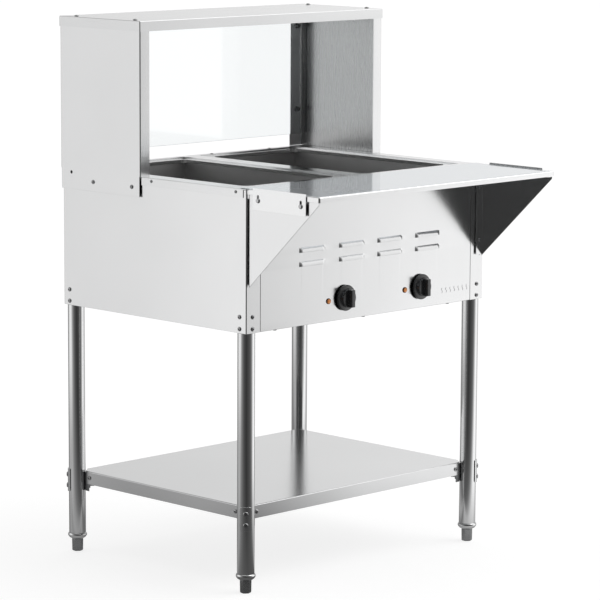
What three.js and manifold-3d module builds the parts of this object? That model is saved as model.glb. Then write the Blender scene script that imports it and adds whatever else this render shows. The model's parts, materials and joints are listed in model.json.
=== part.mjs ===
// Two-well electric steam table with a glazed overshelf, a plate shelf and an undershelf.
// Millimetres, +Z up, front towards -Y. The origin is on the floor, under the middle of the
// unit's outer box. Every sub-part is drawn with y = 0 on the cabinet's front face, and the
// whole group is then moved back onto that origin.
import * as THREE from 'three';
import { mergeVertices } from 'three/addons/utils/BufferGeometryUtils.js';
import Module from 'manifold-3d';

const wasm = await Module();
wasm.setup();

// Driving dimensions.
const WIDTH = 816; // cabinet, over the side panels
const DEPTH = 638; // cabinet, front face to back face
const BODY_BOTTOM = 616;
const TABLE_TOP = 951;
const SHEET = 1.2; // cabinet sheet metal
const HEAVY = 1.5; // guard, gusset and bracket sheet metal
const BEND = 1.2; // inside radius of a bend
const GAP = 0.3; // left between pieces that rest on each other
const HALF = WIDTH / 2;
const SIDES = [['left', -1], ['right', 1]];
const ENDS = [['front', -1], ['rear', 1]];

const CORNER_FLANGE = 45; // return flange of a side panel
const PANEL_GAP = 1.4; // between a side panel's flange and the front or back panel
const PANEL_FLANGE = 16; // top and bottom flange of the front and back panels
const RIM_OVERHANG = 1.5; // top frame past the side panels
const RIM_SKIRT = 20;
const LEDGE_DROP = 3; // ledge round a well, below the rim
const WELL_CENTRE = 196; // from the middle of the cabinet
const WELL_WIDTH = 300;
const WELL_FRONT = 66;
const WELL_BACK = 596;
const WELL_DEPTH = 165;
const LEDGE = 22; // ledge width round a well
const WELL_FLANGE = 14; // outward flange the liner hangs by
const WELL_MARGIN = 3; // liner set back from the opening in the table top
const LEDGE_TOP = TABLE_TOP - LEDGE_DROP;
const WELL_FLOOR = LEDGE_TOP - WELL_DEPTH;

const ELEMENT_RADIUS = 5;
const ELEMENT_RUN = 35; // half the distance between two runs
const ELEMENT_Z = WELL_FLOOR + 22;
const ELEMENT_END = WELL_FRONT - 20; // y of the tube's ends, outside the liner
const ELEMENT_NEAR = WELL_FRONT + 70; // y where the bends start
const ELEMENT_FAR = WELL_BACK - 60;
const ELEMENT_STRIPS = [0.3, 0.7]; // support strips, as shares of the run

const LEG_RADIUS = 20.65;
const LEG_WALL = 1.2;
const LEG_INSET = 20.9; // leg axis from the cabinet's faces
const LEG_BOTTOM = 47;
const FOOT_HEIGHT = 32;
const CLAMP_LOW = 151;
const CLAMP_HIGH = 208;
const CLAMP_BOLTS = [165, 192];
const BOLT_RADIUS = 3;

const UNDERSHELF_TOP = 203;
const UNDERSHELF_SKIRT = 32;
const UNDERSHELF_INSET = 26;

const GUARD_OUT = 413; // outer face of a guard side panel
const GUARD_FRONT = 355;
const GUARD_BACK = 641;
const GUARD_LOW = 902;
const GUARD_FRONT_FLANGE = 30;
const GUARD_BACK_FLANGE = 44;
const OVERSHELF_TOP = 1318;
const OVERSHELF_SKIRT = 25;
const OVERSHELF_LIP = 1.8; // overshelf past the guard panels
const GLASS_HALF = 400;
const GLASS_LOW = 982;
const GLASS_THICK = 6;
const GLASS_BACK = 636;
const CLIP_X = 388;
const CLIP_Z = [1046, 1262];

const SHELF_FRONT = -230;
const SHELF_REAR = 24; // rear edge, resting on the table's front rim
const SHELF_HALF = 405;
const SHELF_SKIRT = 12;
const SHELF_TOP = TABLE_TOP + GAP + SHEET;
const GUSSET_OUT = 402; // outer face of a gusset
const GUSSET_TOP = SHELF_TOP - SHELF_SKIRT - SHEET - GAP;
const GUSSET_LOW = 724;
const GUSSET_FLANGE = 23;
const HANGER_OUT = 407.5; // outer face of a hanger plate
const HANGER_LOW = 906;
const HANGER_HIGH = 956;
const HANGER_SPAN = [-190, -20];
const HANGER_BOLTS = [[-37, 928], [-174, 927]];

const KNOB_X = [-83, 181];
const KNOB_Z = 668;
const KNOB_RADIUS = 31;
const LAMP_OFFSET = -55; // lamp from its knob
const LAMP_Z = 665;
const LOUVRE_COLUMNS = [-193, -60, 71.5, 204];
const LOUVRE_ROWS = [762, 795];
const LOUVRE_LENGTH = 88.5;
const LOUVRE_HEIGHT = 13;
const LOUVRE_RISE = 4;
const GLAND = [300, 560]; // x and y of the supply cable's gland in the bottom panel

const ORIGIN_Y = (SHELF_FRONT + GUARD_BACK + OVERSHELF_LIP) / 2;

// Materials.
const stainless = { color: 0xd4d6d8, roughness: 0.28, metalness: 1 };
const dullSteel = { color: 0x8a8c8e, roughness: 0.5, metalness: 1 };
const zincSteel = { color: 0x9a9b9c, roughness: 0.45, metalness: 1 };
const greyFoot = { color: 0x707275, roughness: 0.5, metalness: 0.6 };
const blackPlastic = { color: 0x101010, roughness: 0.25, metalness: 0 };
const amber = { color: 0xc8722c, roughness: 0.3, metalness: 0 };
const glass = { color: 0xeaf4f6, roughness: 0.05, metalness: 0, transparent: true, opacity: 0.3 };

const unit = new THREE.Group();
unit.position.y = -ORIGIN_Y;

// Turns a closed geometry into a solid whose faces point out.
function solid(geometry) {
  const bare = geometry.clone();
  bare.deleteAttribute('normal');
  bare.deleteAttribute('uv');
  const merged = mergeVertices(bare, 1e-4);
  const position = merged.attributes.position;
  const corners = [0, 1, 2].map(() => new THREE.Vector3());
  const faces = [];
  let volume = 0;
  for (let i = 0; i < merged.index.count; i += 3) {
    const [a, b, c] = [0, 1, 2].map((k) => merged.index.getX(i + k));
    if (a !== b && b !== c && c !== a) {
      faces.push([a, b, c]);
      [a, b, c].forEach((vertex, k) => corners[k].fromBufferAttribute(position, vertex));
      volume += corners[0].dot(corners[1].cross(corners[2]));
    }
  }
  const outward = volume < 0 ? faces.map(([a, b, c]) => [a, c, b]) : faces;
  return new wasm.Manifold(new wasm.Mesh({
    numProp: 3,
    vertProperties: new Float32Array(position.array),
    triVerts: new Uint32Array(outward.flat()),
  }));
}

function add(name, body, finish) {
  const mesh = body.getMesh();
  const geometry = new THREE.BufferGeometry();
  geometry.setAttribute('position', new THREE.BufferAttribute(mesh.vertProperties, 3));
  geometry.setIndex(new THREE.BufferAttribute(mesh.triVerts, 1));
  geometry.computeVertexNormals();
  const piece = new THREE.Mesh(geometry, new THREE.MeshStandardMaterial(finish));
  piece.name = name;
  unit.add(piece);
}

function join(...bodies) {
  return bodies.reduce((whole, body) => whole.add(body));
}

function cut(body, ...tools) {
  return tools.reduce((whole, tool) => whole.subtract(tool), body);
}

// A box between two corners, given in any order.
function block(one, other) {
  const low = one.map((value, i) => Math.min(value, other[i]));
  const high = one.map((value, i) => Math.max(value, other[i]));
  const geometry = new THREE.BoxGeometry(...high.map((value, i) => value - low[i]));
  geometry.translate(...high.map((value, i) => (value + low[i]) / 2));
  return solid(geometry);
}

// A round bar between two points, or a cone frustum if a second radius is given.
function bar(from, to, radius, sides = 16, endRadius = radius) {
  const start = new THREE.Vector3(...from);
  const run = new THREE.Vector3(...to).sub(start);
  const geometry = new THREE.CylinderGeometry(endRadius, radius, run.length(), sides);
  const up = new THREE.Vector3(0, 1, 0);
  geometry.applyQuaternion(new THREE.Quaternion().setFromUnitVectors(up, run.clone().normalize()));
  geometry.translate(...start.addScaledVector(run, 0.5).toArray());
  return solid(geometry);
}

// A shape of revolution about a vertical axis at (x, y). The profile holds [radius, z] points.
function turned(profile, x, y, sides = 20) {
  const points = profile.map(([radius, z]) => new THREE.Vector2(radius, z));
  const geometry = new THREE.LatheGeometry(points, sides);
  geometry.rotateX(Math.PI / 2);
  geometry.translate(x, y, 0);
  return solid(geometry);
}

function extrudeZ(shape, low, high, curveSegments = 2) {
  const geometry = new THREE.ExtrudeGeometry(shape, {
    depth: high - low,
    bevelEnabled: false,
    curveSegments,
  });
  geometry.translate(0, 0, low);
  return solid(geometry);
}

// Extrudes a shape drawn in (y, z) along x.
function extrudeX(shape, low, high) {
  const geometry = new THREE.ExtrudeGeometry(shape, {
    depth: high - low,
    bevelEnabled: false,
    curveSegments: 4,
  });
  geometry.applyMatrix4(new THREE.Matrix4().makeBasis(
    new THREE.Vector3(0, 1, 0),
    new THREE.Vector3(0, 0, 1),
    new THREE.Vector3(1, 0, 0),
  ));
  geometry.translate(low, 0, 0);
  return solid(geometry);
}

function polygon(points) {
  return new THREE.Shape(points.map(([a, b]) => new THREE.Vector2(a, b)));
}

function roundedRectangle(left, right, near, far, radius) {
  const shape = new THREE.Shape();
  shape.absarc(right - radius, near + radius, radius, -Math.PI / 2, 0);
  shape.absarc(right - radius, far - radius, radius, 0, Math.PI / 2);
  shape.absarc(left + radius, far - radius, radius, Math.PI / 2, Math.PI);
  shape.absarc(left + radius, near + radius, radius, Math.PI, Math.PI * 1.5);
  shape.closePath();
  return shape;
}

// The outline of a sheet bent along a polyline. The points lie on one face of the sheet, and
// its thickness is on their left.
function bentSheet(points, thickness = SHEET, bendRadius = BEND, steps = 3) {
  const route = points.map(([a, b]) => new THREE.Vector2(a, b));
  const face = [];
  const back = [];
  const leftOf = (direction) => new THREE.Vector2(-direction.y, direction.x);
  route.forEach((point, i) => {
    const after = route[i + 1];
    const before = route[i - 1];
    const into = (before ? point.clone().sub(before) : after.clone().sub(point)).normalize();
    const out = (after ? after.clone().sub(point) : into.clone()).normalize();
    const turn = Math.atan2(into.cross(out), into.dot(out));
    const radius = turn > 0 ? bendRadius + thickness : bendRadius;
    const reach = Math.abs(turn) > 0 ? radius * Math.tan(Math.abs(turn) / 2) : 0;
    const arm = leftOf(into).multiplyScalar(Math.sign(turn) * radius);
    const centre = point.clone().addScaledVector(into, -reach).add(arm);
    const count = Math.abs(turn) > 0 ? steps : 0;
    for (let k = 0; k <= count; k += 1) {
      const angle = count > 0 ? (turn * k) / count : 0;
      const onFace = centre.clone().sub(arm.clone().rotateAround(new THREE.Vector2(), angle));
      const normal = leftOf(into).rotateAround(new THREE.Vector2(), angle);
      face.push(onFace);
      back.push(onFace.clone().addScaledVector(normal, thickness));
    }
  });
  return new THREE.Shape([...face, ...back.reverse()]);
}

// A block with rounded vertical corners and a rounded top edge.
function roundedBlock([left, near, low], [right, far, high], corner, edge) {
  const shape = roundedRectangle(left + edge, right - edge, near + edge, far - edge, corner - edge);
  const geometry = new THREE.ExtrudeGeometry(shape, {
    depth: high - low,
    bevelThickness: edge,
    bevelSize: edge,
    bevelSegments: 2,
    curveSegments: 2,
  });
  geometry.translate(0, 0, low - edge);
  const below = block([left - 1, near - 1, low - 2 * edge - 1], [right + 1, far + 1, low]);
  return solid(geometry).subtract(below);
}

// A sheet metal pan, open below, with rounded bends and corners.
function pan([left, near], [right, far], top, depth, { sheet = SHEET, corner = 4, edge = 3 } = {}) {
  const low = top - depth;
  const outer = roundedBlock([left, near, low], [right, far, top], corner, edge);
  const inner = roundedBlock(
    [left + sheet, near + sheet, low - 10],
    [right - sheet, far - sheet, top - sheet],
    corner - sheet,
    edge - sheet,
  );
  return outer.subtract(inner);
}

// A ring of sheet between two rounded rectangles [left, right, near, far, radius].
function ring(outer, inner, low, high) {
  const shape = roundedRectangle(...outer);
  shape.holes.push(roundedRectangle(...inner));
  return extrudeZ(shape, low, high);
}

// Cabinet ----------------------------------------------------------------------------------

// A channel: the outer face with a return flange at the front and at the back.
function sidePanel(side) {
  const flange = HALF - CORNER_FLANGE;
  const outline = [[-flange, 0], [-HALF, 0], [-HALF, DEPTH], [-flange, DEPTH]];
  const points = side < 0 ? outline.reverse() : outline.map(([x, y]) => [-x, y]);
  return extrudeZ(bentSheet(points), BODY_BOTTOM, TABLE_TOP - SHEET - BEND - GAP);
}

// The outer or, set in by a sheet's thickness, the inner form of a louvre: a raised pill.
function louvreForm(x, z, sheet) {
  const half = LOUVRE_LENGTH / 2 - sheet;
  const reach = LOUVRE_HEIGHT / 2 - sheet;
  const edge = LOUVRE_RISE - sheet - 0.2;
  const shape = new THREE.Shape();
  shape.absarc(half - reach, 0, reach - edge, -Math.PI / 2, Math.PI / 2);
  shape.absarc(reach - half, 0, reach - edge, Math.PI / 2, Math.PI * 1.5);
  shape.closePath();
  const geometry = new THREE.ExtrudeGeometry(shape, {
    depth: LOUVRE_RISE,
    bevelThickness: edge,
    bevelSize: edge,
    bevelSegments: sheet > 0 ? 1 : 2,
    curveSegments: 3,
  });
  geometry.rotateX(Math.PI / 2);
  geometry.translate(x, edge + sheet, z);
  return solid(geometry);
}

function frontPanel() {
  const half = HALF - CORNER_FLANGE - PANEL_GAP;
  const high = TABLE_TOP - RIM_SKIRT;
  const points = [[PANEL_FLANGE, BODY_BOTTOM], [0, BODY_BOTTOM], [0, high], [PANEL_FLANGE, high]];
  let panel = extrudeX(bentSheet(points.reverse()), -half, half);
  const skin = block([-half, 0, BODY_BOTTOM + 4], [half, SHEET, high - 4]);
  panel = join(panel, skin);
  LOUVRE_COLUMNS.forEach((x) => {
    LOUVRE_ROWS.forEach((z) => {
      const hood = louvreForm(x, z, 0).subtract(block([x - 60, 0.6, z - 20], [x + 60, 20, z + 20]));
      const slotLow = z - LOUVRE_HEIGHT / 2;
      const slot = block([x - 34, -LOUVRE_RISE + 1, slotLow - 1], [x + 34, 0.2, slotLow + 2]);
      panel = cut(join(panel, hood), louvreForm(x, z, SHEET), slot);
    });
  });
  KNOB_X.forEach((x) => {
    panel = panel.subtract(bar([x, -5, KNOB_Z], [x, 5, KNOB_Z], 5.5));
    panel = panel.subtract(bar([x + LAMP_OFFSET, -5, LAMP_Z], [x + LAMP_OFFSET, 5, LAMP_Z], 5.5));
  });
  return panel;
}

function backPanel() {
  const half = HALF - CORNER_FLANGE - PANEL_GAP;
  const high = TABLE_TOP - RIM_SKIRT - GAP;
  const inner = DEPTH - PANEL_FLANGE;
  const points = [[inner, high], [DEPTH, high], [DEPTH, BODY_BOTTOM], [inner, BODY_BOTTOM]];
  return extrudeX(bentSheet(points.reverse()), -half, half);
}

// Resting on the front and back panels' bottom flanges, notched round the leg sockets.
function bottomPanel() {
  const low = BODY_BOTTOM + SHEET + GAP;
  const half = HALF - SHEET - GAP;
  const near = SHEET + BEND + GAP;
  const far = DEPTH - near;
  const points = [[half, low + 18], [half, low], [-half, low], [-half, low + 18]];
  const tray = extrudeZ(bentSheet(points.reverse()), near, far);
  const upright = tray.rotate([90, 0, 0]).translate([0, near + far, 0]);
  const notches = [];
  SIDES.forEach(([, side]) => ENDS.forEach(([, end]) => {
    const y = end < 0 ? 0 : DEPTH;
    notches.push(block([side * HALF, y, low - 5], [side * (HALF - 70), y - end * 70, low + 30]));
  }));
  const [x, y] = GLAND;
  return cut(upright, ...notches, bar([x, y, low - 5], [x, y, low + 5], 10.5));
}

// The table top: a rim, a stepped ledge round each well and a down-turned skirt.
function topFrame() {
  const out = HALF + RIM_OVERHANG;
  const back = DEPTH + RIM_OVERHANG;
  const low = TABLE_TOP - RIM_SKIRT;
  const shell = pan([-out, -RIM_OVERHANG], [out, back], TABLE_TOP, RIM_SKIRT, { corner: 4, edge: 2.4 });
  const frontGap = HALF - CORNER_FLANGE;
  let frame = cut(
    shell,
    block([-out - 1, -5, low - 1], [-frontGap, 10, TABLE_TOP - SHEET - 1]),
    block([frontGap, -5, low - 1], [out + 1, 10, TABLE_TOP - SHEET - 1]),
  );
  [-WELL_CENTRE, WELL_CENTRE].forEach((centre) => {
    const rect = (grow, radius) => [
      centre - WELL_WIDTH / 2 - grow,
      centre + WELL_WIDTH / 2 + grow,
      WELL_FRONT - grow,
      WELL_BACK + grow,
      radius,
    ];
    const opening = extrudeZ(roundedRectangle(...rect(LEDGE, 12)), low - 1, TABLE_TOP + 1);
    const step = ring(rect(LEDGE + SHEET, 13), rect(LEDGE, 12), LEDGE_TOP - SHEET, TABLE_TOP - 0.4);
    const ledge = ring(rect(LEDGE + 0.5, 12), rect(0, 20), LEDGE_TOP - SHEET, LEDGE_TOP);
    const collar = ring(rect(SHEET, 21), rect(0, 20), LEDGE_TOP - 8, LEDGE_TOP - 0.4);
    frame = join(cut(frame, opening), step, ledge, collar);
  });
  return frame;
}

// A folded liner, hung by its outward flange under the ledge.
function well(side) {
  const centre = side * WELL_CENTRE;
  const half = WELL_WIDTH / 2 + WELL_MARGIN;
  const near = WELL_FRONT - WELL_MARGIN;
  const far = WELL_BACK + WELL_MARGIN;
  const top = LEDGE_TOP - SHEET - GAP;
  const shell = (grow, low) => block(
    [centre - half - grow, near - grow, low],
    [centre + half + grow, far + grow, top],
  );
  const hollow = block([centre - half, near, WELL_FLOOR], [centre + half, far, top + 1]);
  const hung = join(shell(SHEET, WELL_FLOOR - SHEET), shell(WELL_FLANGE, top - SHEET));
  return cut(hung, hollow, ...elementEnds(side, ELEMENT_RADIUS + 1.5));
}

// Heating element: one tube in four runs, its two ends through the well's front wall.
function elementEnds(side, radius) {
  return [-3, 3].map((run) => {
    const x = side * WELL_CENTRE + run * ELEMENT_RUN;
    return bar([x, ELEMENT_END, ELEMENT_Z], [x, WELL_FRONT + 10, ELEMENT_Z], radius, 8);
  });
}

function elementBend(x, y, direction) {
  const route = new THREE.EllipseCurve(0, 0, ELEMENT_RUN, ELEMENT_RUN, 0, Math.PI, false);
  const points = route.getPoints(6).map((p) => new THREE.Vector3(p.x, p.y * direction, 0));
  const tube = new THREE.Shape();
  tube.absarc(0, 0, ELEMENT_RADIUS, 0, Math.PI * 2);
  const geometry = new THREE.ExtrudeGeometry(tube, {
    steps: 6,
    curveSegments: 3,
    extrudePath: new THREE.CatmullRomCurve3(points),
  });
  geometry.translate(x, y, ELEMENT_Z);
  return solid(geometry);
}

function element(side) {
  const centre = side * WELL_CENTRE;
  const runs = [-3, -1, 1, 3].map((run) => {
    const near = Math.abs(run) === 3 ? ELEMENT_END : ELEMENT_NEAR;
    const x = centre + run * ELEMENT_RUN;
    return bar([x, near - GAP, ELEMENT_Z], [x, ELEMENT_FAR + GAP, ELEMENT_Z], ELEMENT_RADIUS, 6);
  });
  const bends = [
    elementBend(centre - 2 * ELEMENT_RUN, ELEMENT_FAR, 1),
    elementBend(centre + 2 * ELEMENT_RUN, ELEMENT_FAR, 1),
    elementBend(centre, ELEMENT_NEAR, -1),
  ];
  const feet = ELEMENT_STRIPS.map((share) => {
    const y = ELEMENT_NEAR + share * (ELEMENT_FAR - ELEMENT_NEAR);
    const floor = WELL_FLOOR + GAP;
    const reach = 3 * ELEMENT_RUN + 12;
    return block([centre - reach, y - 1, floor], [centre + reach, y + 1, ELEMENT_Z]);
  });
  return join(...runs, ...bends, ...feet);
}

// A leg socket: a plug that fills the leg's top and the L bracket that the cabinet bolts to.
function legSocket(side, end) {
  const [x, y] = legAxis(side, end);
  const plugRadius = LEG_RADIUS - LEG_WALL - GAP;
  const plug = bar([x, y, BODY_BOTTOM - 60], [x, y, BODY_BOTTOM + 60], plugRadius, 24);
  const skin = SHEET + 2 * GAP;
  const faceX = side * (HALF - skin);
  const faceY = end < 0 ? skin : DEPTH - skin;
  const low = BODY_BOTTOM + 2;
  const high = BODY_BOTTOM + 56;
  const wingX = block([faceX, faceY, low], [faceX - side * HEAVY, faceY - end * 60, high]);
  const wingY = block([faceX, faceY, low], [faceX - side * 60, faceY - end * HEAVY, high]);
  const bore = bar([x, y, BODY_BOTTOM - 61], [x, y, BODY_BOTTOM + 61], plugRadius - 2, 24);
  return cut(join(plug, wingX, wingY), bore);
}

// Controls ---------------------------------------------------------------------------------

// A heat control behind the front panel, its threaded bush through the panel.
function control(x) {
  const housing = block([x - 22, SHEET + GAP, KNOB_Z - 24], [x + 22, 42, KNOB_Z + 24]);
  const bush = bar([x, -3, KNOB_Z], [x, 3, KNOB_Z], 5);
  const bore = bar([x, -4, KNOB_Z], [x, 24, KNOB_Z], 3.5);
  return cut(join(housing, bush), bore);
}

function knobShaft(x) {
  return bar([x, -14, KNOB_Z], [x, 22, KNOB_Z], 3, 12);
}

// A skirted knob with a bar grip, standing off the panel on its shaft.
function knob(x) {
  const rim = KNOB_RADIUS;
  const profile = [[0, 4], [rim, 4], [rim, 7], [rim - 3, 9], [20, 12], [17, 15], [0, 15]];
  const skirt = turned(profile, 0, 0, 24);
  const grip = roundedBlock([-9, -22.5, 10], [9, 22.5, 30], 5, 2);
  const hub = bar([0, 0, 3], [0, 0, 14.3], 3.3, 12);
  return cut(join(skirt, grip), hub).rotate([90, 0, 0]).translate([x, 0, KNOB_Z]);
}

function lamp(x) {
  const profile = [[0, -3.2], [3, -2.9], [5.4, -1.8], [7, -GAP], [5, -GAP], [5, 24], [0, 24]];
  return turned(profile, 0, 0, 16).rotate([-90, 0, 0]).translate([x, 0, LAMP_Z]);
}

// The gland where the supply cable would enter, through the bottom panel.
function cableGland() {
  const low = BODY_BOTTOM + SHEET;
  const high = low + SHEET + 2 * GAP;
  const profile = [
    [5, low - 22],
    [9, low - 22],
    [12, low - 8],
    [15, low - 8],
    [15, low],
    [10, low],
    [10, high + 9],
    [5, high + 9],
    [5, low - 22],
  ];
  return turned(profile, ...GLAND, 16);
}

function terminalBox() {
  const low = BODY_BOTTOM + 2 * SHEET + 2 * GAP;
  const [x, y] = GLAND;
  return block([x - 150, y - 35, low], [x - 50, y + 35, low + 60]);
}

// Legs, feet and undershelf ----------------------------------------------------------------

function legAxis(side, end) {
  return [side * (HALF - LEG_INSET), end < 0 ? LEG_INSET : DEPTH - LEG_INSET];
}

// A point at a distance from the leg's axis along the cabinet's diagonal, outwards positive.
function alongDiagonal(side, end, distance, z) {
  const [x, y] = legAxis(side, end);
  return [x + side * distance * Math.SQRT1_2, y + end * distance * Math.SQRT1_2, z];
}

function boltsAcross(side, end, inner, outer, radius, sides = 8) {
  return CLAMP_BOLTS.map((z) => bar(
    alongDiagonal(side, end, inner, z),
    alongDiagonal(side, end, outer, z),
    radius,
    sides,
  ));
}

function leg(side, end) {
  const [x, y] = legAxis(side, end);
  const bore = LEG_RADIUS - LEG_WALL;
  const top = BODY_BOTTOM - GAP;
  const tube = [[bore, LEG_BOTTOM], [LEG_RADIUS, LEG_BOTTOM], [LEG_RADIUS, top], [bore, top]];
  return cut(turned([...tube, tube[0]], x, y), ...boltsAcross(side, end, -30, 30, BOLT_RADIUS + 0.6, 6));
}

// The insert in a leg's lower end: a bulged collar and a plug, with a bore for the foot's stem.
function footInsert(side, end) {
  const [x, y] = legAxis(side, end);
  const plug = LEG_RADIUS - LEG_WALL - GAP;
  const collarTop = LEG_BOTTOM - GAP;
  const profile = [
    [8.3, FOOT_HEIGHT + GAP],
    [17, FOOT_HEIGHT + GAP],
    [21, FOOT_HEIGHT + 3.5],
    [23.5, FOOT_HEIGHT + 8.5],
    [23.2, FOOT_HEIGHT + 11.5],
    [21.6, collarTop],
    [plug, collarTop],
    [plug, LEG_BOTTOM + 36],
    [8.3, LEG_BOTTOM + 36],
    [8.3, FOOT_HEIGHT + GAP],
  ];
  return turned(profile, x, y);
}

// A levelling foot: a hexagonal shoe and the stem that screws into the insert.
function foot(side, end) {
  const [x, y] = legAxis(side, end);
  const shoe = bar([x, y, 1.5], [x, y, FOOT_HEIGHT], 14, 6);
  const tip = bar([x, y, 0], [x, y, 1.6], 12.5, 6, 14);
  const stem = bar([x, y, FOOT_HEIGHT - 2], [x, y, FOOT_HEIGHT + 48], 8, 16);
  return join(shoe, tip, stem);
}

// A saddle plate that wraps the leg's outer side, with its two bolts through the leg.
function legClamp(side, end) {
  const [x, y] = legAxis(side, end);
  const inner = LEG_RADIUS + GAP;
  const outer = inner + 2;
  const middle = Math.atan2(end, side);
  const spread = 14.5 / inner;
  const shape = new THREE.Shape();
  shape.absarc(0, 0, outer, middle - spread, middle + spread);
  shape.absarc(0, 0, inner, middle + spread, middle - spread, true);
  shape.closePath();
  const plate = extrudeZ(shape, CLAMP_LOW, CLAMP_HIGH, 6).translate([x, y, 0]);
  const heads = boltsAcross(side, end, outer - 0.8, outer + 2.4, 5.5, 8);
  return join(plate, ...heads, ...boltsAcross(side, end, -40, outer, BOLT_RADIUS, 6));
}

// The bracket on a leg's inner side: a plate across the corner and a wing behind each skirt.
function cornerBracket(side, end) {
  const [x, y] = legAxis(side, end);
  const skin = UNDERSHELF_INSET - LEG_INSET + SHEET + GAP;
  const across = (LEG_RADIUS + 2 * GAP) * Math.SQRT2;
  const reach = 56;
  const points = [[reach, skin], [across - skin, skin], [skin, across - skin], [skin, reach]];
  const placed = points.map(([a, b]) => [x - side * a, y - end * b]);
  const turnsLeft = side * end > 0;
  const shape = bentSheet(turnsLeft ? placed.reverse() : placed, HEAVY, 0.8, 2);
  const bracket = extrudeZ(shape, CLAMP_LOW + 2, UNDERSHELF_TOP - SHEET - 2 * BEND);
  const skirtLow = UNDERSHELF_TOP - UNDERSHELF_SKIRT;
  const belowSkirt = (from, to) => block(
    [x - side * from[0], y - end * from[1], CLAMP_LOW],
    [x - side * to[0], y - end * to[1], skirtLow],
  );
  const wingCut = [belowSkirt([across + 6, 2], [70, 30]), belowSkirt([2, across + 6], [30, 70])];
  return cut(bracket, ...wingCut, ...boltsAcross(side, end, -45, 0, BOLT_RADIUS + 0.6, 6));
}

function undershelf() {
  const half = HALF - UNDERSHELF_INSET;
  const far = DEPTH - UNDERSHELF_INSET;
  const shelf = pan([-half, UNDERSHELF_INSET], [half, far], UNDERSHELF_TOP, UNDERSHELF_SKIRT);
  const reach = (LEG_RADIUS + 4) * Math.SQRT2;
  const corners = [];
  SIDES.forEach(([, side]) => ENDS.forEach(([, end]) => {
    const [x, y] = legAxis(side, end);
    const points = [[-20, -20], [reach + 20, -20], [-20, reach + 20]];
    const shape = polygon(points.map(([a, b]) => [x - side * a, y - end * b]));
    corners.push(extrudeZ(shape, UNDERSHELF_TOP - 60, UNDERSHELF_TOP + 5));
  }));
  return cut(shelf, ...corners);
}

// Guard and overshelf ----------------------------------------------------------------------

function guardSide(side) {
  const face = side * GUARD_OUT;
  const front = side * (GUARD_OUT - GUARD_FRONT_FLANGE);
  const back = side * (GUARD_OUT - GUARD_BACK_FLANGE);
  const points = [[front, GUARD_FRONT], [face, GUARD_FRONT], [face, GUARD_BACK], [back, GUARD_BACK]];
  const shape = bentSheet(side < 0 ? points.reverse() : points, HEAVY);
  const channel = extrudeZ(shape, TABLE_TOP + GAP, OVERSHELF_TOP - HEAVY - BEND - GAP);
  const tab = block(
    [face, GUARD_FRONT + 3, GUARD_LOW],
    [face - side * HEAVY, GUARD_BACK - 3, TABLE_TOP + 2],
  );
  const hole = bar([face - side * 5, 602, 943], [face + side * 5, 602, 943], 4, 12);
  const x = side * CLIP_X;
  const screwHoles = CLIP_Z.map((z) => bar([x, GUARD_BACK - 5, z], [x, GUARD_BACK + 5, z], 3.5, 10));
  return cut(join(channel, tab), hole, ...screwHoles);
}

function overshelf() {
  const out = GUARD_OUT + OVERSHELF_LIP;
  return pan(
    [-out, GUARD_FRONT - OVERSHELF_LIP],
    [out, GUARD_BACK + OVERSHELF_LIP],
    OVERSHELF_TOP,
    OVERSHELF_SKIRT,
    { sheet: HEAVY, corner: 3, edge: 2.5 },
  );
}

function glassPanel() {
  const high = OVERSHELF_TOP - OVERSHELF_SKIRT - 2;
  const sheet = block([-GLASS_HALF, GLASS_BACK - GLASS_THICK, GLASS_LOW], [GLASS_HALF, GLASS_BACK, high]);
  const holes = SIDES.flatMap(([, side]) => CLIP_Z.map((z) => bar(
    [side * CLIP_X, GLASS_BACK - 10, z],
    [side * CLIP_X, GLASS_BACK + 5, z],
    4,
    12,
  )));
  return cut(sheet, ...holes);
}

// A glass clip: a bolt through the glass and the guard's flange, with a spacer between them.
function glassClip(side, z) {
  const x = side * CLIP_X;
  const front = GLASS_BACK - GLASS_THICK;
  const head = bar([x, front - 4, z], [x, front - GAP, z], 5.5, 12);
  const shank = bar([x, front - 1, z], [x, GUARD_BACK + 5, z], 3, 8);
  const spacer = bar([x, GLASS_BACK + GAP, z], [x, GUARD_BACK - HEAVY - GAP, z], 6.5, 12);
  const nut = bar([x, GUARD_BACK + GAP, z], [x, GUARD_BACK + 1.7, z], 5.5, 6);
  const trim = block([x - 20, GUARD_BACK + 1.7, z - 20], [x + 20, GUARD_BACK + 20, z + 20]);
  return cut(join(head, shank, spacer, nut), trim);
}

// Plate shelf ------------------------------------------------------------------------------

function plateShelf() {
  const depth = SHELF_SKIRT + SHEET;
  const rounding = { corner: 5, edge: 4 };
  const shelf = pan([-SHELF_HALF, SHELF_FRONT], [SHELF_HALF, SHELF_REAR], SHELF_TOP, depth, rounding);
  const low = SHELF_TOP - depth - 1;
  const bare = block([-SHELF_HALF - 1, -3, low], [SHELF_HALF + 1, SHELF_REAR + 1, SHELF_TOP - SHEET]);
  return shelf.subtract(bare);
}

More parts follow.
